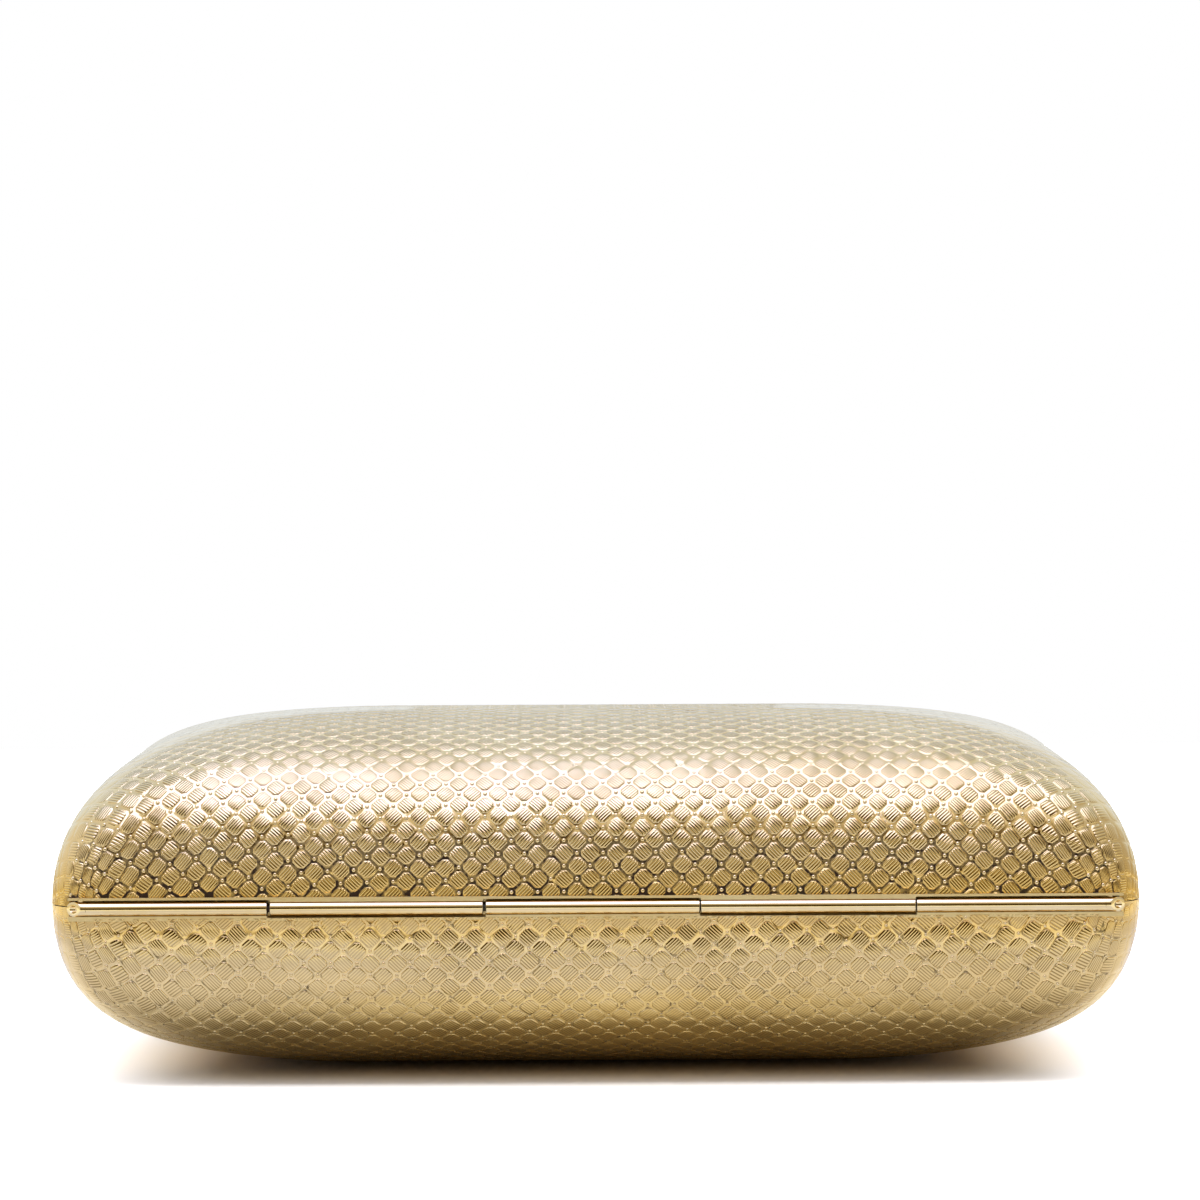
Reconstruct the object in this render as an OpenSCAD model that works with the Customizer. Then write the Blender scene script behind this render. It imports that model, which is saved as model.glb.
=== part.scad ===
// Hard-shell evening case: two pressed brass shells, framed at the mouth and joined by a tube hinge.
// The long side with the hinge faces -Y, the clasp faces +Y and the case rests on the flat of its crown.

/* [Case] */
// Width of the case, along the hinge
case_w = 175; // [155:1:200]
// Depth of the case, from the hinge side to the clasp side
case_d = 97; // [88:1:112]
// Thickness of the shut case
case_h = 58.2; // [52:0.2:68]
// Corner radius of the mouth, seen from above
mouth_corner_r = 9; // [8:0.5:12]
// Thickness of the pressed brass sheet
shell_t = 0.9; // [0.7:0.1:1.1]
// Gap between the two shells when the case is shut
seam_gap = 0.16; // [0.1:0.02:0.3]

/* [Shell curve] */
// How squarely the ends rise, as the power of the end profile's outer curve
end_full = 6; // [4:0.5:7]
// How early the ends turn in, as the power of height
end_turn = 2; // [1.8:0.1:2.4]
// How squarely the long sides rise, as the power of the side profile's outer curve
side_full = 2.5; // [2.3:0.1:3]
// How early the long sides turn in, as the power of height
side_turn = 3.35; // [3:0.05:3.6]
// How late the corners open out towards the crown, as the power of height
corner_turn = 4; // [2:0.5:6]

/* [Mouth frames] */
// Height of each frame, up or down from the parting plane
frame_h = 4; // [3:0.5:5]
// Thickness of the upper frame
upper_frame_t = 0.9; // [0.7:0.1:1.1]
// Gap around the lip, inside the upper frame
lip_gap = 0.4; // [0.3:0.05:0.6]
// Thickness of the lip that locates the lid
lip_t = 0.8; // [0.6:0.1:1]
// Height of the lip above the parting plane
lip_h = 1.2; // [0.8:0.1:1.4]
// Gap between the frames' faces when the case is shut
frame_gap = 0.05; // [0.02:0.01:0.1]

/* [Hinge] */
// Outer radius of the hinge tube
knuckle_r = 1.2; // [1:0.05:1.4]
// Radius of the hinge pin
pin_r = 0.6; // [0.5:0.05:0.7]
// Running clearance of the pin, on the radius
pin_play = 0.05; // [0.03:0.01:0.08]
// How far in from the side of the case the hinge axis ends
hinge_end = 4.2; // [4:0.1:9]
// Distance from one knuckle joint to the next, as a share of half the hinge
knuckle_share = 0.413; // [0.38:0.001:0.43]
// How far the joints stand off to the left of their even places
joint_shift = 0.55; // [0:0.05:1]
// Gap at each of the two joints left of the middle
left_joint_gap = 0.45; // [0.2:0.05:0.6]
// Gap at each of the two joints right of the middle
right_joint_gap = 0.15; // [0.1:0.05:0.6]
// How far the hinge axis lies inside the back of the case
hinge_inset = 0.5; // [0.4:0.05:0.7]
// How far the hinge axis lies below the parting plane
hinge_drop = 0.3; // [0:0.05:0.4]
// Gap between a knuckle and the bearer of the other half
bearer_gap = 0.25; // [0.2:0.05:0.35]
// How far the grooved bearers stand out from the back of the case
bearer_proud = 0.3; // [0.2:0.05:0.35]
// How far up its own knuckles a bearer reaches, down from their outermost line
bearer_grip = 0.1; // [0.05:0.05:0.2]
// Width of bearer left between the gap and the patterned shell
bearer_strip = 0.4; // [0.35:0.05:0.6]

/* [Push button] */
// Height of the button's axis below the parting plane
button_drop = 8.4; // [8.2:0.1:9]
// Radius of the button
button_r = 2.8; // [2.4:0.1:2.8]
// How far the button stands out of its collar
button_proud = 1.4; // [1.2:0.1:1.8]
// Travel of the button
button_travel = 1.2; // [0.8:0.1:1.2]
// Sliding clearance of the button, on the radius
button_play = 0.06; // [0.04:0.01:0.1]
// Radius of the shoulder that keeps the button in
shoulder_r = 3.4; // [3.2:0.1:3.5]
// Thickness of that shoulder
shoulder_t = 0.8; // [0.6:0.1:0.9]
// Outer radius of the collar
collar_r = 4; // [3.6:0.1:4]
// How far the collar stands out of the case
collar_proud = 0.7; // [0.5:0.1:1.2]
// Radius of the collar's rounded lip
collar_round = 0.5; // [0.3:0.1:0.6]

/* [Catch] */
// Width of the catch spring
catch_w = 6; // [5:0.5:6]
// Thickness of the catch spring
catch_t = 0.45; // [0.4:0.05:0.5]
// Gap between the catch spring and the lip
catch_gap = 0.26; // [0.2:0.02:0.4]
// How deep the nose of the catch reaches into the striker's window
catch_bite = 0.5; // [0.4:0.05:0.5]
// Height of the nose of the catch
nose_h = 0.8; // [0.7:0.1:1]
// Lost motion between the nose and the striker
nose_gap = 0.2; // [0.1:0.05:0.3]
// Thickness of the striker plate
striker_t = 0.6; // [0.5:0.1:0.7]
// Width of the striker plate
striker_w = 14; // [13:0.5:16]
// Height of the ledge under the striker's window
ledge_h = 0.9; // [0.8:0.1:1]
// Thickness of the catch housing
housing_t = 0.5; // [0.4:0.1:0.6]
// Inner width of the catch housing
housing_w = 10; // [9:0.5:11]
// Room left in the housing behind the catch spring when the button is pressed in
housing_spare = 1.6; // [1.2:0.1:2]
// Depth of the housing below the button's axis
housing_drop = 4.2; // [4:0.1:4.6]
// Width of each wing by which the housing is held
wing_w = 4.5; // [4:0.5:6]
// Height of those wings
wing_h = 3.2; // [2.8:0.1:3.3]
// Radius of the rivets
rivet_r = 0.5; // [0.4:0.05:0.6]
// Radius of the rivet heads
rivet_head_r = 0.9; // [0.8:0.05:1]
// Height of the rivet heads
rivet_head_h = 0.35; // [0.3:0.05:0.45]

/* [Lining] */
// Thickness of the padded lining
lining_t = 1.6; // [1.2:0.1:2]
// Gap between the lining and the metal
lining_gap = 0.3; // [0.2:0.05:0.5]

/* [Hidden] */

// Overrun of every cut past the face it opens
over = 1;
// Solder film between pieces that are soldered together
solder = 0.02;
// Gap that leaves a flat facet of the shell clear of a round frame corner
seat_gap = 0.06;
// Clearance of a rivet in its hole
rivet_play = 0.03;
// Share of the full curve's height at which the crown is pressed flat
crown_share = 0.9985;
// Corner radius at the crown, as a share of the half depth there
crown_corner_share = 0.98;
// Steps around each corner of a row
corner_steps = 10;
// Rows of each shell, from the mouth to the crown
shell_rows = 16;
// Rows of each lining
lining_rows = 10;
// Facets of a full circle
$fn = 64;

// The parting plane's height, and the height of the curve before its crown is pressed flat
part_z = case_h / 2;
full_rise = part_z / crown_share;

// Half width, half depth and corner radius of the case at a height from the parting plane.
// The inset is how far inside the outer surface the curve runs.
function rise_share(z, inset) = z / (full_rise - inset);
function half_w(z, inset) =
    (case_w / 2 - inset) * pow(1 - pow(rise_share(z, inset), end_turn), 1 / end_full);
function half_d(z, inset) =
    (case_d / 2 - inset) * pow(1 - pow(rise_share(z, inset), side_turn), 1 / side_full);
function mouth_corner_share(inset) = (mouth_corner_r - inset) / (case_d / 2 - inset);
function corner_share(z, inset) =
    mouth_corner_share(inset)
    + (crown_corner_share - mouth_corner_share(inset)) * pow(rise_share(z, inset), corner_turn);
function corner_r(z, inset) = corner_share(z, inset) * min(half_w(z, inset), half_d(z, inset));

// Heights of the loft's rows, closer together towards the crown
function row_heights(z0, inset, rows) =
    let (rise = full_rise - inset, from = asin(z0 / rise), to = asin(crown_share))
    [for (i = [0 : rows]) rise * sin(from + (to - from) * i / rows)];

// One row: a rounded rectangle, shaped as the case is at shape_z and placed at z
function row_points(z, shape_z, inset) =
    let (w = half_w(shape_z, inset), d = half_d(shape_z, inset), r = corner_r(shape_z, inset))
    [for (q = [0 : 3], s = [0 : corner_steps])
        let (a = 90 * q + 90 * s / corner_steps,
             sx = (q == 0 || q == 3) ? 1 : -1,
             sy = (q < 2) ? 1 : -1)
        [sx * (w - r) + r * cos(a), sy * (d - r) + r * sin(a), z]];

// A closed solid through the rows, each with as many points
module loft(rows) {
    n = len(rows[0]);
    last = (len(rows) - 1) * n;
    sides = [for (k = [0 : len(rows) - 2], j = [0 : n - 1], half = [0, 1])
        let (a = k * n + j, b = k * n + (j + 1) % n)
        half == 0 ? [a, a + n, b + n] : [a, b + n, b]];
    bottom = [[for (j = [0 : n - 1]) j]];
    top = [[for (j = [n - 1 : -1 : 0]) last + j]];
    polyhedron(points = [for (row = rows) each row], faces = concat(bottom, sides, top), convexity = 4);
}

// Solid half of the case, from z0 above the parting plane to the crown
module half_solid(z0, inset, rows) {
    loft([for (z = row_heights(z0, inset, rows)) row_points(z, z, inset)]);
}

// The room inside a half, straight over the height of its frame
module half_room(inset, rows) {
    heights = row_heights(frame_h, inset, rows);
    loft(concat(
        [row_points(-over, frame_h, inset)],
        [for (z = heights) row_points(z, z, inset)]
    ));
}

// Places its children in the lid, or turned over in the lower half
module in_lid() { translate([0, 0, part_z]) children(); }
module in_base() { translate([0, 0, part_z]) mirror([0, 0, 1]) children(); }

// Frames: their outer face follows the shells' inner face at the frames' own height
frame_w = half_w(frame_h, shell_t) - seat_gap;
frame_d = half_d(frame_h, shell_t) - seat_gap;
frame_r = corner_r(frame_h, shell_t) - seat_gap;
lower_frame_t = upper_frame_t + lip_gap + lip_t;

// Hinge axis, and the heights from it at which the bearers and the patterned shells begin
hinge_half = case_w / 2 - hinge_end;
hinge_y = -case_d / 2 + hinge_inset;
hinge_z = part_z - hinge_drop;
// Reach of the bearers inwards from the axis: as far as the upper frame's inner face
bearer_reach = -frame_d + upper_frame_t - hinge_y;
grip_z = knuckle_r - bearer_grip;
gap_z = knuckle_r + bearer_gap;
strip_z = gap_z + bearer_strip;

// Gap at each knuckle joint, and where each knuckle starts and ends
joint_gaps = [left_joint_gap, left_joint_gap, right_joint_gap, right_joint_gap];
hinge_tip = hinge_half + bearer_reach;
joint_x = [for (i = [0 : 3]) (i - 1.5) * knuckle_share * hinge_half - joint_shift];
function knuckle_from(i) = (i == 0) ? -hinge_tip : joint_x[i - 1] + joint_gaps[i - 1] / 2;
function knuckle_to(i) = (i == 4) ? hinge_tip : joint_x[i] - joint_gaps[i] / 2;

// A bar along the hinge, from x0 to x1, between two distances inwards and two heights from the axis
module hinge_bar(x0, x1, y0, y1, z0, z1) {
    translate([x0, hinge_y + y0, hinge_z + z0]) cube([x1 - x0, y1 - y0, z1 - z0]);
}

// A round bar on the hinge axis
module hinge_rod(x0, x1, r) {
    translate([x0, hinge_y, hinge_z]) rotate([0, 90, 0]) cylinder(h = x1 - x0, r = r);
}

// What the two mitres at the ends of the hinge cut away, 45 degrees to its axis
module hinge_mitres() {
    far = 4 * bearer_reach;
    for (side = [-1, 1])
        translate([side * hinge_half, hinge_y, hinge_z])
            rotate([0, 0, side * 45])
                translate([side > 0 ? 0 : -far, -far, -far])
                    cube([far, 2 * far, 2 * far]);
}

// Room for the hinge in the shells and frames: the bearers' section, all along
module hinge_room() {
    hinge_bar(-hinge_tip, hinge_tip, -hinge_inset - over, bearer_reach + solder,
        -strip_z - solder, strip_z + solder);
}

module knuckle(i) {
    color("goldenrod")
    difference() {
        hinge_rod(knuckle_from(i), knuckle_to(i), knuckle_r);
        hinge_rod(knuckle_from(i) - over, knuckle_to(i) + over, pin_r + pin_play);
        if (i == 0 || i == 4) hinge_mitres();
    }
}

// Grooved strip that carries the knuckles listed in own; side is 1 on the lid and -1 on the base
module bearer(side, own) {
    outer = -hinge_inset - bearer_proud;
    low = side > 0 ? grip_z : -strip_z;
    high = side > 0 ? strip_z : -grip_z;
    gap_low = side > 0 ? grip_z - over : -gap_z;
    gap_high = side > 0 ? gap_z : -grip_z + over;
    color("darkgoldenrod")
    difference() {
        hinge_bar(-hinge_tip, hinge_tip, outer, bearer_reach, low, high);
        for (i = own) hinge_rod(knuckle_from(i), knuckle_to(i), knuckle_r + solder);
        for (i = [0 : 4])
            if (len(search(i, own)) == 0)
                hinge_bar(
                    i == 0 ? -hinge_tip - over : knuckle_to(i - 1),
                    i == 4 ? hinge_tip + over : knuckle_from(i + 1),
                    outer - over, bearer_reach + over, gap_low, gap_high);
        hinge_mitres();
    }
}

lid_knuckles = [1, 3];
base_knuckles = [0, 2, 4];

module lower_bearer() { bearer(-1, base_knuckles); }
module upper_bearer() { bearer(1, lid_knuckles); }

module hinge_pin() {
    end = hinge_half - pin_r;
    color("gold") hinge_rod(-end, end, pin_r);
}

// Rounded plate as the frames' outline, brought in by inset
module frame_outline(inset) {
    w = frame_w - inset;
    d = frame_d - inset;
    r = frame_r - inset;
    square([2 * (w - r), 2 * d], center = true);
    square([2 * w, 2 * (d - r)], center = true);
    for (sx = [-1, 1], sy = [-1, 1]) translate([sx * (w - r), sy * (d - r)]) circle(r = r);
}

module frame_ring(z0, z1, outer_inset, inner_inset) {
    translate([0, 0, part_z + z0])
        linear_extrude(height = z1 - z0)
            difference() {
                frame_outline(outer_inset);
                frame_outline(inner_inset);
            }
}

// Clasp sizes, from the parting plane and the frames' inner faces
lip_face_y = frame_d - lower_frame_t;
button_z = part_z - button_drop;
wall_y = half_d(button_drop, 0);
collar_face_y = wall_y + collar_proud;
catch_face_y = lip_face_y - catch_gap;
catch_back_y = catch_face_y - catch_t;
shoulder_y = catch_face_y + button_play;
collar_back_y = shoulder_y + shoulder_t + frame_gap;

// Catch housing sizes
shelf_top_z = button_z - housing_drop - catch_t;
shelf_z = shelf_top_z - housing_t;
housing_back_y = catch_back_y - button_travel - housing_spare - housing_t;
housing_half = housing_w / 2 + housing_t;
housing_top_z = part_z - frame_gap - (frame_h - wing_h) / 2;
wing_y = lip_face_y - housing_t;
wing_x = housing_half + wing_w / 2;
wing_z = housing_top_z - wing_h / 2;

// Striker sizes
striker_face_y = frame_d - upper_frame_t;
striker_back_y = striker_face_y - striker_t;
ledge_z = part_z + lip_h + lip_gap;
window_z = ledge_z + ledge_h;
nose_z = window_z + nose_gap;
nose_tip_y = striker_back_y + catch_bite;
window_top_z = nose_z + nose_h + nose_gap;
window_w = catch_w + 3 * nose_gap;
striker_top_z = part_z + frame_h;
striker_rivet_x = (window_w + striker_w) / 4;
striker_rivet_z = (ledge_z + striker_top_z) / 2;
foot_rivet_x = catch_w / 4;
foot_rivet_y = (housing_back_y + housing_t + catch_back_y) / 2;

module lower_shell() {
    color("gold")
    difference() {
        in_base() half_solid(seam_gap / 2, 0, shell_rows);
        in_base() half_room(shell_t, shell_rows);
        hinge_room();
        clasp_rod(collar_r + solder, collar_back_y - over, collar_face_y + over);
    }
}

module upper_shell() {
    color("gold")
    difference() {
        in_lid() half_solid(seam_gap / 2, 0, shell_rows);
        in_lid() half_room(shell_t, shell_rows);
        hinge_room();
    }
}

// Rebated ring: its base is soldered in the lower shell and its lip stands up inside the lid
module lower_frame() {
    color("khaki")
    difference() {
        union() {
            frame_ring(-frame_h, 0, 0, lower_frame_t);
            frame_ring(-frame_h, lip_h, upper_frame_t + lip_gap, lower_frame_t);
        }
        hinge_room();
        for (sx = [-1, 1])
            clasp_bore(sx * wing_x, wing_z, rivet_r + rivet_play, lip_face_y - over, frame_d + over);
    }
}

module upper_frame() {
    color("khaki")
    difference() {
        frame_ring(frame_gap, frame_h, 0, upper_frame_t);
        hinge_room();
        for (sx = [-1, 1])
            clasp_bore(sx * striker_rivet_x, striker_rivet_z, rivet_r + rivet_play,
                striker_face_y - over, frame_d + over);
    }
}

// A rod along Y through x and z, between two depths
module clasp_bore(x, z, r, y0, y1) {
    translate([x, y0, z]) rotate([-90, 0, 0]) cylinder(h = y1 - y0, r = r);
}

// The same on the button's axis
module clasp_rod(r, y0, y1) { clasp_bore(0, button_z, r, y0, y1); }

// A profile of radius and depth, turned about the button's axis from depth y0
module clasp_turned(y0) {
    translate([0, y0, button_z]) rotate([-90, 0, 0]) rotate_extrude() children();
}

// Collar soldered through the wall, with a rounded lip
module button_collar() {
    bore_r = button_r + button_play;
    length = collar_face_y - collar_back_y;
    color("gold")
    clasp_turned(collar_back_y)
        difference() {
            union() {
                translate([bore_r, 0]) square([collar_r - bore_r, length - collar_round]);
                translate([bore_r, 0]) square([collar_r - collar_round - bore_r, length]);
                translate([collar_r - collar_round, length - collar_round]) circle(r = collar_round);
            }
            translate([0, -over]) square([bore_r, length + 2 * over]);
        }
}

// Push button: a domed cap, its shaft and the shoulder that bears on the catch spring
module clasp_button() {
    shaft = collar_face_y - shoulder_y;
    dome_r = (button_r * button_r + button_proud * button_proud / 4) / button_proud;
    color("gold")
    clasp_turned(shoulder_y)
        union() {
            square([shoulder_r, shoulder_t]);
            square([button_r, shaft + button_proud / 2]);
            intersection() {
                translate([0, shaft + button_proud - dome_r]) circle(r = dome_r);
                translate([0, shaft]) square([button_r, button_proud]);
            }
        }
}

// A flat profile of depth and height, drawn out along X to width w about the middle
module clasp_extruded(w) {
    translate([-w / 2, 0, 0]) rotate([90, 0, 90]) linear_extrude(height = w) children();
}

// Leaf spring: a foot riveted to the housing's shelf, a blade past the button and a hooked nose
module catch_spring() {
    foot_y = housing_back_y + housing_t + frame_gap;
    color("silver")
    difference() {
        clasp_extruded(catch_w)
            polygon([
                [foot_y, shelf_top_z],
                [catch_face_y, shelf_top_z],
                [catch_face_y, nose_z],
                [nose_tip_y, nose_z],
                [nose_tip_y, nose_z + nose_h / 4],
                [catch_face_y, nose_z + nose_h],
                [catch_back_y, nose_z + nose_h],
                [catch_back_y, shelf_top_z + catch_t],
                [foot_y, shelf_top_z + catch_t]
            ]);
        foot_holes();
    }
}

module foot_holes() {
    for (sx = [-1, 1])
        translate([sx * foot_rivet_x, foot_rivet_y, shelf_z - over])
            cylinder(h = housing_t + catch_t + 2 * over, r = rivet_r + rivet_play);
}

// Housing: a folded channel hung from the lower frame by two wings, open to the button and above
module catch_housing() {
    depth = lip_face_y - housing_back_y;
    tall = housing_top_z - shelf_z;
    color("khaki")
    difference() {
        union() {
            translate([-housing_half, housing_back_y, shelf_z]) cube([2 * housing_half, depth, tall]);
            translate([-housing_half - wing_w, wing_y, housing_top_z - wing_h])
                cube([2 * (housing_half + wing_w), housing_t, wing_h]);
        }
        translate([-housing_w / 2, housing_back_y + housing_t, shelf_z + housing_t])
            cube([housing_w, depth, tall]);
        for (sx = [-1, 1])
            clasp_bore(sx * wing_x, wing_z, rivet_r + rivet_play, wing_y - over, lip_face_y + over);
        foot_holes();
    }
}

// A rivet along Z with a head at each end, its shank from z0 to z1
module foot_rivet(z0, z1) {
    translate([0, 0, z0]) cylinder(h = z1 - z0, r = rivet_r);
    translate([0, 0, z0 - rivet_head_h]) cylinder(h = rivet_head_h, r = rivet_head_r);
    translate([0, 0, z1]) cylinder(h = rivet_head_h, r = rivet_head_r);
}

module catch_rivets() {
    color("darkkhaki")
    for (sx = [-1, 1])
        translate([sx * foot_rivet_x, foot_rivet_y, 0]) foot_rivet(shelf_z, shelf_top_z + catch_t);
}

// Rivets through a piece that lies on a frame, flush with the frame's outer face
module frame_rivets(x, z, face_y) {
    color("darkkhaki")
    for (sx = [-1, 1]) {
        clasp_bore(sx * x, z, rivet_r, face_y - rivet_head_h, frame_d);
        clasp_bore(sx * x, z, rivet_head_r, face_y - rivet_head_h, face_y);
    }
}

module housing_rivets() { frame_rivets(wing_x, wing_z, wing_y); }
module striker_rivets() { frame_rivets(striker_rivet_x, striker_rivet_z, striker_back_y); }

// Striker: a plate riveted in the lid's frame, with the window that the nose enters
module striker_plate() {
    color("silver")
    difference() {
        translate([-striker_w / 2, striker_back_y, ledge_z])
            cube([striker_w, striker_t, striker_top_z - ledge_z]);
        translate([-window_w / 2, striker_back_y - over, window_z])
            cube([window_w, striker_t + 2 * over, window_top_z - window_z]);
        for (sx = [-1, 1])
            clasp_bore(sx * striker_rivet_x, striker_rivet_z, rivet_r + rivet_play,
                striker_back_y - over, striker_face_y + over);
    }
}

// Lining of one half: an even padded skin, from just past the frame to the crown
lining_inset = shell_t + lining_gap;
module lining_skin() {
    start = frame_h + lining_gap;
    difference() {
        half_solid(start, lining_inset, lining_rows);
        loft(concat(
            [row_points(start - over, start, lining_inset + lining_t)],
            [for (z = row_heights(start, lining_inset + lining_t, lining_rows))
                row_points(z, z, lining_inset + lining_t)]
        ));
    }
}

module upper_lining() { color("antiquewhite") in_lid() lining_skin(); }

module lower_lining() {
    room = lining_gap;
    color("antiquewhite")
    difference() {
        in_base() lining_skin();
        translate([-housing_half - room, housing_back_y - room, shelf_z - rivet_head_h - room])
            cube([2 * (housing_half + room), case_d / 2, part_z]);
    }
}

lower_shell();
upper_shell();
lower_frame();
upper_frame();
lower_bearer();
upper_bearer();
knuckle(0);  // knuckle_1
knuckle(1);  // knuckle_2
knuckle(2);  // knuckle_3
knuckle(3);  // knuckle_4
knuckle(4);  // knuckle_5
hinge_pin();
button_collar();
clasp_button();
catch_spring();
catch_housing();
catch_rivets();
housing_rivets();
striker_plate();
striker_rivets();
lower_lining();
upper_lining();
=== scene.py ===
"""Gilt evening case: two pressed shells with a tiled basket-weave relief, a tube hinge and a push button.

Metres throughout, in the frame of the CAD model: the hinge faces -Y, the clasp +Y, the case rests on z = 0.
"""
import math

import bmesh
import bpy
import numpy as np
from mathutils import Matrix, Vector
from mathutils.kdtree import KDTree


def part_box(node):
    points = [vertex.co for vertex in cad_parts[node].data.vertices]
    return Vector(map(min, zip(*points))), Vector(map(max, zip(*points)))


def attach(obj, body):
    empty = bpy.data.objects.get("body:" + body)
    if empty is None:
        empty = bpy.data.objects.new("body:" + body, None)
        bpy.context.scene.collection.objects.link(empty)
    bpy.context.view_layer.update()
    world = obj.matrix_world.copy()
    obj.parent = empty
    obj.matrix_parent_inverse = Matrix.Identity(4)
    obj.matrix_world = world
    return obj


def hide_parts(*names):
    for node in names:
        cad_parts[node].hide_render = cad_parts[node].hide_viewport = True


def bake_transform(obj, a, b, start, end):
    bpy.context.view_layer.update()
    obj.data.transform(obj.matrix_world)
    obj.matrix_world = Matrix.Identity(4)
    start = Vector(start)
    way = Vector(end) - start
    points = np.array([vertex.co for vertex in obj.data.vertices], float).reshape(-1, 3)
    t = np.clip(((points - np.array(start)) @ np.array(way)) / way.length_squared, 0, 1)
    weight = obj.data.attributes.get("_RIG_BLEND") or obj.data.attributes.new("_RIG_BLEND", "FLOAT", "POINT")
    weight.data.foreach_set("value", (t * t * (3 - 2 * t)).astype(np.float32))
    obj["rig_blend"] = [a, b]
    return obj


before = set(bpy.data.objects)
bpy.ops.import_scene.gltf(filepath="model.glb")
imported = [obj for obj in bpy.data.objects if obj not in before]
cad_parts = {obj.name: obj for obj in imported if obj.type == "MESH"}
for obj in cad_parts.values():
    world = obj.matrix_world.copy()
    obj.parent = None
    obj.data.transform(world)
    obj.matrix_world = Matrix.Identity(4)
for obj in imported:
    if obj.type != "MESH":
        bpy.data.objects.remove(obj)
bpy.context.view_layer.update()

MM = 0.001

# ---- sizes read from the frame
SHELL_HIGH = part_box("upper_shell")[1]
HALF_W = round(SHELL_HIGH[0], 5)
HALF_D = round(SHELL_HIGH[1], 5)
PART_Z = SHELL_HIGH[2] / 2
BEARER_LOW, BEARER_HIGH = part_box("upper_bearer")
COLLAR_LOW, COLLAR_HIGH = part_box("button_collar")
BUTTON_Z = (COLLAR_LOW[2] + COLLAR_HIGH[2]) / 2
COLLAR_R = (COLLAR_HIGH[2] - COLLAR_LOW[2]) / 2
KNUCKLES = [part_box(f"knuckle_{i}") for i in range(1, 6)]
TUBE_LOW, TUBE_HIGH = KNUCKLES[1]
TUBE_R = (TUBE_HIGH[2] - TUBE_LOW[2]) / 2
HINGE_Y = (TUBE_LOW[1] + TUBE_HIGH[1]) / 2
HINGE_Z = (TUBE_LOW[2] + TUBE_HIGH[2]) / 2
PIN_LOW, PIN_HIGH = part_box("hinge_pin")
PIN_R = (PIN_HIGH[2] - PIN_LOW[2]) / 2
SEAM = (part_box("upper_shell")[0][2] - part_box("lower_shell")[1][2]) / 2

# the shells' curve, as the CAD model draws it
END_FULL, END_TURN = 6.0, 2.0
SIDE_FULL, SIDE_TURN = 2.5, 3.35
CORNER_TURN = 4.0
MOUTH_CORNER = 9 * MM
CROWN_SHARE, CROWN_CORNER = 0.9985, 0.98
RISE = PART_Z / CROWN_SHARE
SHEET = 0.9 * MM

# the weave of each half: half pitches along and across the hinge, the first row's height over the mouth, the
# place along the hinge of one bead of that row, and how far the rows rise per metre along the hinge; then the
# channels' depth, the beads' radius and a tile's rings: half size and corner cut in pitches, drop
WEAVE = {
    "lid": {
        "half_x": 2.093 * MM, "half_y": 2.055 * MM, "first": 2.22 * MM, "bead_x": -0.87 * MM, "skew": 0.0075,
        "depth": 0.22 * MM, "bead_r": 0.37 * MM,
        "rings": [(0.436, 0.185, 0.2 * MM), (0.41, 0.18, 0.105 * MM), (0.33, 0.14, 0.045 * MM)]},
    "base": {
        "half_x": 2.11 * MM, "half_y": 2.03 * MM, "first": 2.75 * MM, "bead_x": 1.96 * MM, "skew": -0.016,
        "depth": 0.13 * MM, "bead_r": 0.29 * MM,
        "rings": [(0.436, 0.185, 0.115 * MM), (0.418, 0.18, 0.02 * MM), (0.375, 0.155, 0.006 * MM)]},
}
# points in a ring of a tile or a bead, and engraved lines on a tile
RING_SIDES, LINES_PER_TILE = 8, 7
# no two tiles are alike: steps by which they are shifted, grown and, as a share of the depth, leant
TILE_SHIFT, TILE_GROWTH, TILE_LEAN = 0.05 * MM, 0.012 * MM, 0.22
# the base's sheet comes out over the face of its bearer: heights below the hinge axis between which it does,
# how far in front of the face it ends, and the share of the relief that is lost there
LIP_START, LIP_EDGE = 2.4 * MM, 1.53 * MM
LIP_PROUD, LIP_FLAT = 0.16 * MM, 0.3
# towards the ends the pressing grows shallow: from this far inside the end, over this length, to this share
END_PLAIN, END_FADE, END_RELIEF = 1.3 * MM, 3.5 * MM, 0.3
# the mouth's edge is plain up to the first height and the relief grows over the second
RIM_PLAIN, RIM_FADE, RIM_WALL = 0.35 * MM, 0.5 * MM, 3 * MM
# on the crowns the relief is rubbed down by this share and the beads stand this much deeper
CROWN_WORN, CROWN_SUNK = 0.45, 0.08 * MM
# the flat sheet: how far it runs on past the mouth, the power of its outline, the levels between which its
# rows change from the walls' course to the crown's, and from how large a miss a point is no longer on it
BELOW_MOUTH = 1.2 * MM
MOUTH_POWER = 3.9
BLEND_LEVELS = (-0.5, 1.15)
OFF_SHEET = 0.05 * MM
NEWTON_STEPS = 8

# the hinge: where the tube and its pin end, the length that is mitred, and where the tarnish at a joint ends
TUBE_END, PIN_END = HALF_W - 4.2 * MM, HALF_W - 4.5 * MM
MITRE, JOINT_TARNISH = 1 * MM, 4 * MM

# the linings: their outer and inner face below the shell's surface, their edge's distance from the parting
# plane, the length of a pleat and the room left around the catch housing
LINING_OUT, LINING_IN = 1.2 * MM, 2.8 * MM
LINING_START = 4.3 * MM
PLEAT = 7 * MM
HOUSING_HALF, HOUSING_GAP = 5.5 * MM, 0.35 * MM

PALE_GOLD, WARM_GOLD = (0.86, 0.65, 0.305), (0.79, 0.58, 0.25)
TUBE_GOLD = ((0.88, 0.7, 0.38), (0.82, 0.62, 0.28), 0.07, 0.05)
# brown of the painted shade in the engraved lines
GROOVE_SHADE_BROWN = (0.3, 0.195, 0.065)
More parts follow.
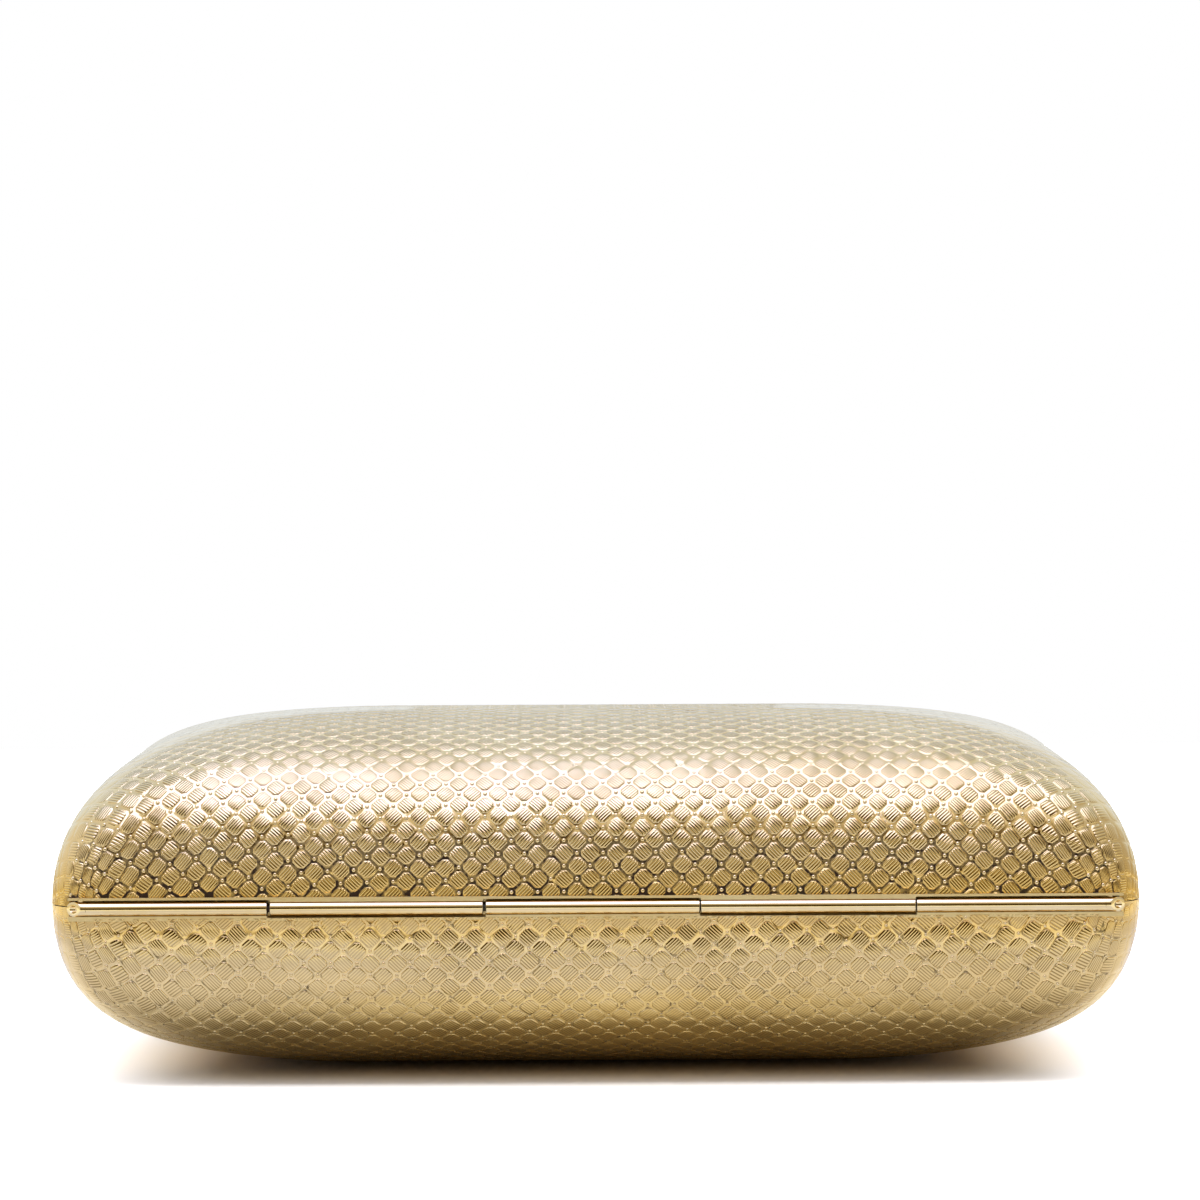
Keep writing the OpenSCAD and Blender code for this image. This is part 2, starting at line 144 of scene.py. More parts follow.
# how each half is worn and shaded: depth and painted shade of the engraved lines, dirt and painted shade on
# the channels' floor and round the tiles, the least share of the lines that is left, and the painted warm
# reflection along the hinge and its reach
WEAR = {
    "lid": {"line": 0.03 * MM, "line_shade": 0.85, "floor": 0.66, "outline": 0.46, "least": 0.65,
            "deep": (0.97, 0.87, 0.56), "reach": 9 * MM},
    "base": {"line": 0.011 * MM, "line_shade": 1.0, "floor": 0.1, "outline": 0.5, "least": 0.5,
             "deep": (0.96, 0.88, 0.68), "reach": 6 * MM},
}


# ---- the shells' surface
def contour_sizes(level):
    """Half width, half depth and corner radius of the case at a level, 0 at the mouth and 1 at the crown."""
    level = np.clip(level, 0, 1)
    w = HALF_W * (1 - level**END_TURN) ** (1 / END_FULL)
    d = HALF_D * (1 - level**SIDE_TURN) ** (1 / SIDE_FULL)
    mouth = MOUTH_CORNER / HALF_D
    corner = mouth + (CROWN_CORNER - mouth) * level**CORNER_TURN
    return w, d, corner * np.minimum(w, d)


def contour_point(w, d, r, u):
    """A quarter contour: u is 0 on the X axis, 1 and 2 at the corner's ends and 3 on the Y axis."""
    turn = np.clip(u - 1, 0, 1) * np.pi / 2
    x = w - r + r * np.cos(turn)
    y = d - r + r * np.sin(turn)
    x = np.where(u > 2, (w - r) * (3 - u), x)
    y = np.where(u < 1, (d - r) * u, y)
    return x, y


def level_at(v):
    """Level of a row: v is 0 at the edge of the crown's flat and 1 at the mouth."""
    return np.sin(np.arcsin(CROWN_SHARE) * (1 - np.clip(v, 0, 1)))


def surface(u, v):
    """A point of the quarter shell, z up from the parting plane; past v = 1 the wall runs straight on."""
    level = level_at(v)
    w, d, r = contour_sizes(level)
    x, y = contour_point(w, d, r, u)
    z = RISE * level - np.clip(v - 1, 0, None) * BELOW_MOUTH
    return np.stack([x, y, z], -1)


def surface_normal(u, v):
    """Outward unit normal of the quarter shell."""
    step_u, step_v = 2e-3, 1e-3
    along = surface(np.clip(u + step_u, 0, 3), v) - surface(np.clip(u - step_u, 0, 3), v)
    down = surface(u, np.clip(v + step_v, 0, 2)) - surface(u, np.clip(v - step_v, 0, 2))
    n = np.cross(down, along)
    return n / np.linalg.norm(n, axis=-1, keepdims=True)


def across(half_a, half_b, r, a):
    """Half depth of a contour at a distance a from its middle, nan where the contour has ended."""
    past = np.clip(a - (half_a - r), 0, None)
    return np.where(past <= r, half_b - r + np.sqrt(np.clip(r * r - past * past, 0, None)), np.nan)


def arcs_from_ridge(levels, a, b, swap):
    """Length over the surface from the ridge to each row's point, in the section at the distance a."""
    w, d, r = contour_sizes(levels)
    half_a, half_b = (d, w) if swap else (w, d)
    h = across(half_a[None], half_b[None], r[None], a[:, None] - 1e-9)
    valid = ~np.isnan(h)
    h = np.where(valid, h, 0)
    step = np.hypot(np.diff(h, axis=1), np.diff(RISE * levels)[None])
    step = np.where(valid[:, 1:] & valid[:, :-1], step, 0)
    run = np.concatenate([np.zeros((len(a), 1)), np.cumsum(step, axis=1)], axis=1)
    first = valid.argmax(axis=1)
    k = np.arange(len(a))
    return np.where(first == k, b, h[k, first] + run[k, k])


def smooth(t):
    """From 0 to 1, level at both."""
    t = np.clip(t, 0, 1)
    return t * t * (3 - 2 * t)


def quarter_steps(end, corner, side):
    """Places along a quarter contour, with so many steps on the end, round the corner and on the side."""
    return np.concatenate([np.linspace(0, 1, end, endpoint=False), np.linspace(1, 2, corner, endpoint=False),
                           np.linspace(2, 3, side + 1)])


def nearest(points):
    """A tree that finds the nearest of the points."""
    tree = KDTree(len(points))
    for k, point in enumerate(points):
        tree.insert(point, k)
    tree.balance()
    return tree


class SheetMap:
    """How the flat patterned sheet lies on a shell: flat (X, Y) of a table of points of the quarter shell."""

    def __init__(self):
        self.u = quarter_steps(14, 16, 29)
        self.v = np.linspace(0, 1, 150)
        levels = level_at(self.v)
        w, d, r = contour_sizes(levels)
        x, y = contour_point(w[None], d[None], r[None], self.u[:, None])
        flat_y = np.stack([arcs_from_ridge(levels, a, b, False) for a, b in zip(x, y)])
        flat_x = np.stack([arcs_from_ridge(levels, b, a, True) for a, b in zip(x, y)])
        self.reach = (flat_x[0, -1], flat_y[-1, -1])
        wall_x, wall_y = self.wall_sheet(x, y, flat_x[0], flat_y[-1])
        top = smooth((levels - BLEND_LEVELS[0]) / (BLEND_LEVELS[1] - BLEND_LEVELS[0]))
        top = top / top[0]
        flat = np.stack([top * flat_x + (1 - top) * wall_x, top * flat_y + (1 - top) * wall_y], -1)
        last = (flat[:, -1] - flat[:, -2]) / (RISE * levels[-2])
        self.v = np.append(self.v, 2.0)
        self.flat = np.concatenate([flat, (flat[:, -1] + last * BELOW_MOUTH)[:, None]], axis=1)
        self.tree = nearest([(x, y, 0) for x, y in self.flat.reshape(-1, 2)])

    def wall_sheet(self, x, y, half_x, half_y):
        """On the walls the sheet's rows and columns meet the mouth as the contours of a rounded blank."""
        power = MOUTH_POWER
        long_turn = np.arccos(np.clip(x / half_x, 0, 1) ** (power / 2))
        end_turn = np.arcsin(np.clip(y / half_y, 0, 1) ** (power / 2))
        share = smooth(self.u - 1)[:, None]
        turn = share * long_turn + (1 - share) * end_turn
        return half_x * np.cos(turn) ** (2 / power), half_y * np.sin(turn) ** (2 / power)

    def find(self, flat):
        """(u, v, miss) of flat points in the quarter, by nearest table point and Newton steps."""
        start = np.array([self.tree.find((fx, fy, 0))[1] for fx, fy in flat])
        i, j = np.divmod(start, len(self.v))
        place = np.stack([i, j], -1).astype(float)
        limit = np.array([len(self.u) - 1.0, len(self.v) - 1.0])
        for _ in range(NEWTON_STEPS):
            place = np.clip(place, 0, limit - 1e-6)
            cell = np.floor(place).astype(int)
            s, t = (place - cell).T[:, :, None]
            a, b = cell.T
            f00, f10 = self.flat[a, b], self.flat[a + 1, b]
            f01, f11 = self.flat[a, b + 1], self.flat[a + 1, b + 1]
            here = (f00 * (1 - s) + f10 * s) * (1 - t) + (f01 * (1 - s) + f11 * s) * t
            ds = (f10 - f00) * (1 - t) + (f11 - f01) * t
            dt = (f01 - f00) * (1 - s) + (f11 - f10) * s
            gap = flat - here
            det = ds[:, 0] * dt[:, 1] - ds[:, 1] * dt[:, 0]
            det = np.where(np.abs(det) < 1e-14, 1e-14, det)
            move = np.stack([
                (gap[:, 0] * dt[:, 1] - gap[:, 1] * dt[:, 0]) / det,
                (ds[:, 0] * gap[:, 1] - ds[:, 1] * gap[:, 0]) / det,
            ], -1)
            place = place + np.clip(move, -1.5, 1.5)
        place = np.clip(place, 0, limit - 1e-6)
        miss = np.linalg.norm(gap, axis=1)
        u = np.interp(place[:, 0], np.arange(len(self.u)), self.u)
        v = np.interp(place[:, 1], np.arange(len(self.v)), self.v)
        return u, v, miss

    def lay(self, flat):
        """Points, with z up from the parting plane, normals and misses on the lid for signed flat (X, Y)."""
        sign = np.where(flat < 0, -1.0, 1.0)
        quarter = np.abs(flat)
        w, d, r = contour_sizes(CROWN_SHARE)
        on_crown = quarter[:, 1] <= np.nan_to_num(across(w, d, r, quarter[:, 0]), nan=-1)
        u, v, miss = self.find(quarter)
        point, normal = surface(u, v), surface_normal(u, v)
        point[on_crown] = np.column_stack([quarter[on_crown], np.full(on_crown.sum(), PART_Z)])
        normal[on_crown] = (0, 0, 1)
        miss[on_crown] = 0
        point[:, :2] *= sign
        normal[:, :2] *= sign
        return point, normal, miss


# ---- node trees
def plug(node, inputs):
    """Sets a node's inputs, by name or number, to numbers, colours, sockets or wires."""
    for key, value in dict(inputs).items():
        value = getattr(value, "socket", value)
        if isinstance(value, bpy.types.NodeSocket):
            node.id_data.links.new(value, node.inputs[key])
        else:
            node.inputs[key].default_value = value
    return node


def put(tree, kind, inputs=(), **settings):
    """Adds a node with its settings and inputs."""
    node = tree.nodes.new(kind)
    for key, value in settings.items():
        setattr(node, key, value)
    return plug(node, inputs)


def wire(tree, kind, inputs=(), out=0, **settings):
    """Adds a node and gives one of its outputs."""
    return Wire(put(tree, kind, inputs, **settings).outputs[out])


def reckoner(operation):
    return lambda value, *others: value.reckon(operation, *others)


class Wire:
    """A socket's value, to be reckoned with like a number: each step adds a node to its tree."""

    def __init__(self, socket):
        self.socket, self.tree = socket, socket.id_data

    def reckon(self, operation, *others):
        return wire(self.tree, "ShaderNodeMath", enumerate((self, *others)), operation=operation)

    def __rsub__(self, number):
        return self * -1.0 + number

    __add__, __sub__ = reckoner("ADD"), reckoner("SUBTRACT")
    __mul__, __truediv__ = reckoner("MULTIPLY"), reckoner("DIVIDE")
    __lt__, __gt__, __abs__ = reckoner("LESS_THAN"), reckoner("GREATER_THAN"), reckoner("ABSOLUTE")

    def ramp(self, *stops):
        """A colour ramp over the value; each stop is (place, grey or colour)."""
        node = put(self.tree, "ShaderNodeValToRGB", {0: self})
        elements = node.color_ramp.elements
        while len(elements) < len(stops):
            elements.new(0.5)
        for element, (place, colour) in zip(elements, stops):
            element.position, element.color = place, rgba(colour)
        return Wire(node.outputs[0])


def rgba(colour):
    """A colour socket's value from a grey or from red, green and blue; a wire stays as it is."""
    if isinstance(colour, float):
        colour = (colour, colour, colour)
    return (*colour, 1) if isinstance(colour, tuple) else colour


def mix(share, a, b, mode="MIX"):
    """From colour a where the share is 0 to b where it is 1."""
    return wire(share.tree, "ShaderNodeMix", {0: share, 6: rgba(a), 7: rgba(b)}, 2, data_type="RGBA",
                blend_type=mode)


def noise(place, scale, detail, roughness=0.5):
    return wire(place.tree, "ShaderNodeTexNoise",
                {"Vector": place, "Scale": scale, "Detail": detail, "Roughness": roughness})


def bump(height, distance, strength=1.0, below=None):
    """The normal of a surface raised by the height, on top of the bump below."""
    inputs = {"Height": height, "Distance": distance, "Strength": strength}
    if below:
        inputs["Normal"] = below
    return wire(height.tree, "ShaderNodeBump", inputs)


def axes(place):
    split = put(place.tree, "ShaderNodeSeparateXYZ", {0: place})
    return [Wire(socket) for socket in split.outputs]


def stored(tree, name):
    """A value that the mesh carries."""
    return wire(tree, "ShaderNodeAttribute", out="Fac", attribute_name=name)


def to_camera(tree):
    """1 for what the camera sees itself, 0 in reflections and as light."""
    return wire(tree, "ShaderNodeLightPath", out="Is Camera Ray")


FLOAT, COLOUR, VECTOR = "NodeSocketFloat", "NodeSocketColor", "NodeSocketVector"


def shader_group(name, inputs):
    """An empty shader group and its inputs as wires; each is given by its kind, or by its number."""
    group = bpy.data.node_groups.new(name, "ShaderNodeTree")
    for label, value in inputs.items():
        kind = value if isinstance(value, str) else FLOAT
        socket = group.interface.new_socket(label, in_out="INPUT", socket_type=kind)
        if kind == FLOAT:
            socket.default_value = value
    given = group.nodes.new("NodeGroupInput")
    return group, [Wire(given.outputs[label]) for label in inputs]


def close_group(group, outputs):
    for label in outputs:
        kind = COLOUR if label == "Color" else FLOAT
        group.interface.new_socket(label, in_out="OUTPUT", socket_type=kind)
    put(group, "NodeGroupOutput", outputs)
    return group


def gilding_group():
    """Old gilding: large cloudy shifts of tone, small wear, and smears in the polish."""
    group, (place, pale, warm, polish, smears) = shader_group("gilding", {
        "Place": VECTOR, "Pale": COLOUR, "Warm": COLOUR, "Polish": 0.2, "Smears": 0.1})
    tone = noise(place, 45.0, 3.0) * 0.7 + noise(place, 900.0, 4.0) * 0.3
    colour = mix(tone.ramp((0.38, 0.0), (0.62, 1.0)), pale, warm)
    rough = noise(place, 160.0, 5.0, 0.65) * smears + polish
    return close_group(group, {"Color": colour, "Roughness": rough})


def tarnish_and_shade_group():
    """Brown and green tarnish where the mask is high, broken up by grain; on the woven shells the mask also
    carries painted shade.
    """
    group, (place, base, mask, polish) = shader_group("tarnish", {
        "Place": VECTOR, "Base": COLOUR, "Mask": 0.0, "Roughness": 0.2})
    grain = (noise(place, 1400.0, 4.0) - 0.5) * 0.9 + mask
    some = grain.ramp((0.35, 0.0), (0.75, 1.0)) * (mask > 0.01)
    green = noise(place, 300.0, 2.0).ramp((0.55, 0.0), (0.7, 1.0))
    dirt = mix(green, (0.04, 0.02, 0.006), (0.06, 0.05, 0.022))
    return close_group(group, {
        "Color": mix(some, base, dirt), "Roughness": some * 0.4 + polish, "Metallic": some * -0.45 + 1.0})


GILDING = gilding_group()
TARNISH_AND_SHADE = tarnish_and_shade_group()


def new_material(name, viewport):
    """A material, its shader, and the piece's own coordinates."""
    material = bpy.data.materials.new(name)
    material.use_nodes = True
    material.diffuse_color = (*viewport, 1)
    tree = material.node_tree
    return material, tree.nodes["Principled BSDF"], wire(tree, "ShaderNodeTexCoord", out="Object")


def gilded(place, pale, warm, polish, smears):
    return put(place.tree, "ShaderNodeGroup", {
        "Place": place, "Pale": rgba(pale), "Warm": rgba(warm), "Polish": polish, "Smears": smears,
    }, node_tree=GILDING)


def tarnished(shader, place, base, mask):
    """Plugs a gilding with tarnish over it into the shader, and gives its colour; the mask may carry painted
    shade too.
    """
    out = put(place.tree, "ShaderNodeGroup", {
        "Place": place, "Base": base.outputs["Color"], "Roughness": base.outputs["Roughness"], "Mask": mask,
    }, node_tree=TARNISH_AND_SHADE).outputs
    plug(shader, {"Base Color": out["Color"], "Roughness": out["Roughness"], "Metallic": out["Metallic"]})
    return Wire(out["Color"])


def old_metal(name, gilding, mask, viewport=None):
    """A metal with the gilding's two colours, polish and smears; mask gives the tarnish from the place."""
    material, shader, place = new_material(name, viewport or gilding[0])
    tarnished(shader, place, gilded(place, *gilding), mask(place))
    return material


def specks(scale, detail, none, most):
    """A mask of specks, from a noise value without any to one, and how strong they are there."""
    return lambda place: noise(place, scale, detail).ramp((none, 0.0), most)


def joint_tarnish(place):
    """Tarnish of the hinge tubes: dark beside the joints, and a few specks."""
    near = stored(place.tree, "from_end").ramp((0.0, 0.8), (0.03, 0.35), (0.07, 0.0))
    return near.reckon("MAXIMUM", specks(420.0, 3.0, 0.7, (0.78, 0.7))(place))


def rod_tarnish(place):
    """The rod is oily and dark inside the tubes, gilt where its left end shows, dull at its right end."""
    along = axes(place)[0]
    inside = abs(along) < HALF_W - 6 * MM
    return (inside * 2.0).reckon("MAXIMUM", (along > 0.0) * 0.62)


def engraved_wave(tree):
    """A wave over every tile, along one lattice direction on even rows and along the other on odd rows."""
    p, q, _ = axes(wire(tree, "ShaderNodeUVMap", uv_map="lattice"))
    odd = (p.reckon("FLOOR") - q.reckon("FLOOR")).reckon("FLOORED_MODULO", 2.0)
    over_lines = p * odd + q * (1.0 - odd)
    return (over_lines * (LINES_PER_TILE * 2 * math.pi)).reckon("SINE")


def warm_reflection_by_hinge(above, behind, reach):
    """Painted warm reflection: along the hinge the colour is multiplied deeper and warmer."""
    near = (abs(above) / reach).ramp((0.3, 1.0), (0.65, 0.55), (1.0, 0.0))
    return near * (behind / (20 * MM)).ramp((0.2, 1.0), (0.7, 0.0))


def blots_and_dark_reflections_by_hinge(place, above, behind):
    """Blots above the hinge: old polish and dirt, with painted dark reflections."""
    near = (above / (5 * MM)).ramp((0.3, 0.0), (0.36, 0.42), (0.85, 0.0))
    return near * (behind < 7 * MM) * noise(place, 190.0, 3.0).ramp((0.45, 0.0), (0.62, 1.0))


def weave_material(key):
    """Gilt tiles with engraved lines darkened as painted shade, dirt and painted shade in the channels and
    more of it along the hinge, and a painted warm reflection along the hinge.
    """
    wear = WEAR[key]
    material, shader, place = new_material(f"woven_gilt_{key}", (0.75, 0.58, 0.33))
    x, y, z = axes(place)
    above, behind = z - HINGE_Z, y - HINGE_Y
    relief, at_end = stored(place.tree, "relief"), stored(place.tree, "at_end")
    gold = gilded(place, PALE_GOLD, WARM_GOLD, 0.1, 0.08)

    # dirt and painted shade: the channels' floor and the tiles' outlines darker, on the lid more so near the
    # hinge
    sunk_dirt_and_shade = relief.ramp((0.03, wear["floor"]), (0.13, wear["outline"]), (0.3, wear["outline"]), (0.5, 0.0))
    darker_near_hinge = (above / (20 * MM)).ramp((0.4, 1.0), (0.72, 0.35))
    rim = (relief < -0.1) * 0.45
    # this mask carries dirt and painted shade into the tarnish
    dirt = (sunk_dirt_and_shade * darker_near_hinge).reckon("MAXIMUM", rim) + blots_and_dark_reflections_by_hinge(place, above, behind)
    colour = tarnished(shader, place, gold, dirt)

    wave = engraved_wave(place.tree)
    on_tile = relief.ramp((0.45, 0.0), (0.58, 1.0)) * at_end.ramp((0.3, 1.0), (1.0, 0.0))
    depth = on_tile * noise(place, 70.0, 3.0).ramp((0.38, 1.0), (0.64, wear["least"]))
    # painted shade: the troughs of the engraved lines darkened brown
    groove_shade = (wave * -0.5 + 0.5).ramp((0.9 - 0.6 * wear["line_shade"], 0.0), (0.95, wear["line_shade"])) * depth
    colour = mix(groove_shade, colour, GROOVE_SHADE_BROWN)
    # painted warm reflection along the hinge, multiplied into the colour
    colour = mix(warm_reflection_by_hinge(above, behind, wear["reach"]), colour, wear["deep"], "MULTIPLY")
    to_right = (x / HALF_W).ramp((0.0, 0.0), (0.9, 1.0))
    colour = mix(to_right, colour, (1.0, 0.965, 0.86), "MULTIPLY")

    lines = bump(wave * depth, wear["line"])
    dented = bump(noise(place, 330.0, 1.0), 0.2 * MM, below=lines)
    plug(shader, {"Base Color": colour, "Normal": dented})
    return material


def satin_material():
    """Gold satin: long floats seen as fine ribs, a soft sheen and slight fading."""
    material, shader, place = new_material("lining_satin", (0.62, 0.5, 0.33))
    faded = mix(noise(place, 30.0, 3.0), (0.66, 0.53, 0.34), (0.52, 0.4, 0.24))
    cloth = wire(place.tree, "ShaderNodeUVMap", uv_map="cloth")
    threads = wire(place.tree, "ShaderNodeTexWave",
                   {"Vector": cloth, "Scale": 700.0, "Distortion": 0.6, "Detail": 1.0},
                   1, wave_type="BANDS", bands_direction="X")
    plug(shader, {
        "Base Color": mix(threads * 0.18, faded, (0.3, 0.22, 0.12)), "Normal": bump(threads, 0.02 * MM, 0.5),
        "Roughness": 0.42, "Sheen Weight": 0.35, "Sheen Roughness": 0.35})
    return material


# ---- meshes
def repeat_tree():
    """Puts one shape on every point, turned to its facing, welds what touches and gives it its finish."""
    tree = bpy.data.node_groups.new("repeat_on_points", "GeometryNodeTree")
    kinds = {"Geometry": "Geometry", "Shape": "Object", "Weld": "Float", "Finish": "Material"}
    for label, kind in kinds.items():
        tree.interface.new_socket(label, in_out="INPUT", socket_type="NodeSocket" + kind)
    tree.interface.new_socket("Geometry", in_out="OUTPUT", socket_type="NodeSocketGeometry")
    given = tree.nodes.new("NodeGroupInput").outputs
    shape = wire(tree, "GeometryNodeObjectInfo", {"Object": given["Shape"]}, "Geometry")
    facing = wire(tree, "GeometryNodeInputNamedAttribute", {"Name": "facing"}, data_type="FLOAT_VECTOR")
    turn = wire(tree, "FunctionNodeAlignRotationToVector", {"Vector": facing}, axis="Z")
    points = wire(tree, "GeometryNodeMeshToPoints", {"Mesh": given["Geometry"]})
    copies = wire(tree, "GeometryNodeInstanceOnPoints",
                  {"Points": points, "Instance": shape, "Rotation": turn})
    real = wire(tree, "GeometryNodeRealizeInstances", {0: copies})
    welded = wire(tree, "GeometryNodeMergeByDistance", {"Geometry": real, "Distance": given["Weld"]})
    finish = wire(tree, "GeometryNodeSetMaterial", {"Geometry": welded, "Material": given["Finish"]})
    put(tree, "NodeGroupOutput", {0: finish})
    return tree


REPEAT = repeat_tree()


def add_object(name, data):
    obj = bpy.data.objects.new(name, data)
    bpy.context.scene.collection.objects.link(obj)
    return obj


def add_piece(mesh, material):
    """A smooth piece, named like its mesh."""
    shade_smooth(mesh)
    mesh.materials.append(material)
    return add_object(mesh.name, mesh)


def mesh_from(name, points, faces):
    mesh = bpy.data.meshes.new(name)
    mesh.from_pydata([tuple(p) for p in points], [], faces)
    mesh.update()
    return mesh


def as_built(obj):
    """The mesh of an object with its modifiers carried out."""
    bpy.context.view_layer.update()
    return bpy.data.meshes.new_from_object(obj.evaluated_get(bpy.context.evaluated_depsgraph_get()))


def repeated(name, points, facing, shape_mesh, weld, material):
    """A plain mesh with the shape on every point, made by the tree repeat_on_points."""
    seeds = mesh_from(name + "_points", points, [])
    seeds.attributes.new("facing", "FLOAT_VECTOR", "POINT").data.foreach_set("vector", np.ravel(facing))
    holder = add_object(name + "_points", seeds)
    shape = add_object(name + "_shape", shape_mesh)
    modifier = holder.modifiers.new("repeat", "NODES")
    modifier.node_group = REPEAT
    given = {"Shape": shape, "Weld": weld, "Finish": material}
    for socket in REPEAT.interface.items_tree:
        if socket.name in given:
            modifier[socket.identifier] = given[socket.name]
    mesh = as_built(holder)
    mesh.name = name
    bpy.data.objects.remove(holder)
    bpy.data.objects.remove(shape)
    return mesh


def vertex_array(mesh):
    out = np.empty(len(mesh.vertices) * 3)
    mesh.vertices.foreach_get("co", out)
    return out.reshape(-1, 3)


def store_uv(mesh, name, per_vertex):
    """UV map from one value pair per vertex."""
    corner = np.empty(len(mesh.loops), dtype=int)
    mesh.loops.foreach_get("vertex_index", corner)
    mesh.uv_layers.new(name=name).data.foreach_set("uv", np.ravel(per_vertex[corner]))


def store_value(mesh, name, per_vertex):
    mesh.attributes.new(name, "FLOAT", "POINT").data.foreach_set("value", np.ravel(per_vertex))


def shade_smooth(mesh):
    mesh.polygons.foreach_set("use_smooth", np.ones(len(mesh.polygons), dtype=bool))
    mesh.update()


def face_outward(mesh):
    bm = bmesh.new()
    bm.from_mesh(mesh)
    bmesh.ops.recalc_face_normals(bm, faces=bm.faces)
    bm.to_mesh(mesh)
    bm.free()


def bands(count, rows, first=0):
    """Faces between rows of count points that each close into a ring; first is the number of the first."""
    faces = []
    for low in range(first, first + (rows - 1) * count, count):
        high = low + count
        faces += [(low + i, low + (i + 1) % count, high + (i + 1) % count, high + i) for i in range(count)]
    return faces


def fan(first, count, tip):
    """Faces from a ring of count points to a tip."""
    return [(first + i, first + (i + 1) % count, tip) for i in range(count)]


def flipped(faces):
    return [face[::-1] for face in faces]


def ring_angles(sides):
    return [2 * math.pi * k / sides for k in range(sides)]


# ---- woven shells
def tile_mesh(weave):
    """One cushioned tile with its share of the channels, in flat sheet coordinates."""
    def flat(p, q, drop):
        x = (p + q) * weave["half_x"]
        return x, (p - q) * weave["half_y"] + weave["skew"] * x, -drop

    h = 0.5
    square = [(h, -h), (h, 0), (h, h), (0, h), (-h, h), (-h, 0), (-h, -h), (0, -h)]
    points = [flat(a, b, weave["depth"]) for a, b in square]
    for s, corner_cut, drop in weave["rings"]:
        k = s - corner_cut
        ring = [(s, -k), (s, k), (k, s), (-k, s), (-s, k), (-s, -k), (-k, -s), (k, -s)]
        points += [flat(a, b, drop) for a, b in ring]
    points.append((0, 0, 0))
    n, rings, faces = RING_SIDES, len(weave["rings"]), []
    # the outer square's corners 0, 2, 4, 6 each meet one cut corner of the foot ring
    for c0 in range(0, n, 2):
        mid, c1 = c0 + 1, (c0 + 2) % n
        faces += [(c0, mid, n + c0), (mid, n + mid, n + c0), (mid, c1, n + mid), (c1, n + c1, n + mid)]
    faces += bands(n, rings, n) + fan(n * rings, n, n * rings + n)
    mesh = mesh_from("tile", points, flipped(faces))
    crisp = [all(n <= v < 2 * n for v in e.vertices) for e in mesh.edges]
    mesh.attributes.new("sharp_edge", "BOOLEAN", "EDGE").data.foreach_set("value", crisp)
    return mesh


def bead_mesh(radius):
    """A low dome with its foot in the channel; facing +Z."""
    rings = [(1.0, -0.1), (0.86, 0.34), (0.45, 0.58)]
    points = [(radius * r * math.cos(angle), radius * r * math.sin(angle), radius * z)
              for r, z in rings for angle in ring_angles(RING_SIDES)]
    points.append((0, 0, 0.66 * radius))
    n = RING_SIDES
    return mesh_from("bead", points, bands(n, 3) + fan(2 * n, n, 3 * n))


def lattice_of(weave, flat):
    """Lattice coordinates of flat points: whole numbers at the beads, halves at the tiles' middles."""
    a = (flat[:, 0] - weave["bead_x"]) / weave["half_x"]
    b = (flat[:, 1] + SHEET_MAP.reach[1] - weave["first"] - weave["skew"] * flat[:, 0]) / weave["half_y"]
    return (a + b) / 2, (a - b) / 2


def flat_of(weave, p, q):
    a, b = p + q, p - q
    x = a * weave["half_x"] + weave["bead_x"]
    y = b * weave["half_y"] - SHEET_MAP.reach[1] + weave["first"] + weave["skew"] * x
    return np.stack([x, y], -1)


def lattice_points(weave, half):
    """Flat points of the whole lattice, moved by half a cell where half is 0.5, within the sheet."""
    steps = np.arange(-90, 90) + half
    p, q = np.meshgrid(steps, steps, indexing="ij")
    flat = flat_of(weave, p.ravel(), q.ravel())
    share = np.abs(flat) / (np.array(SHEET_MAP.reach) + BELOW_MOUTH + weave["half_x"])
    return flat[(share**MOUTH_POWER).sum(axis=1) < 1]


def turned_over(vectors, is_lid):
    return vectors * (1, 1, 1 if is_lid else -1)


def to_half(points, is_lid):
    """Turns lid coordinates, z up from the parting plane, into the place of the lid or the base."""
    return turned_over(points, is_lid) + (0, 0, PART_Z)


def hand_cut(flat, p, q, depth):
    """Shifts, grows and leans every tile a little, each in its own way; the channels' middles stay."""
    size = 256
    wander = np.random.default_rng(7).normal(0, 1, (size, size, 5)).clip(-2, 2)
    i, j = np.floor(p).astype(int), np.floor(q).astype(int)
    own = wander[i % size, j % size]
    inside = (flat[:, 2] > -0.95 * depth)[:, None]
    from_middle = np.stack([p - i - 0.5, q - j - 0.5], -1)
    grow = own[:, :1] * TILE_GROWTH * from_middle * 2
    out = flat.copy()
    out[:, :2] += inside * (own[:, 1:3] * TILE_SHIFT + grow)
    out[:, 2] += inside[:, 0] * (own[:, 3:] * from_middle).sum(axis=1) * TILE_LEAN * depth
    return out


def over_bearer(place, height):
    """Brings the top of the base's sheet out over the face of its bearer and flattens the relief there."""
    x, y, z = place.T
    near = smooth((z - (HINGE_Z - LIP_START)) / (LIP_START - LIP_EDGE)) * (y < -HALF_D + 8 * MM)
    near *= 1 - smooth((np.abs(x) - BEARER_HIGH[0] + 4 * MM) / (3.5 * MM))
    out = place.copy()
    out[:, 1] += near * np.minimum(BEARER_LOW[1] - LIP_PROUD - y, 0)
    return out, height * (1 - LIP_FLAT * near)


def end_share(place):
    """0 on the long sides and 1 at the ends of the shell, for places with z up from the parting plane."""
    w, _, _ = contour_sizes(np.abs(place[:, 2]) / RISE)
    return 1 - smooth((w - np.abs(place[:, 0]) - END_PLAIN) / END_FADE)


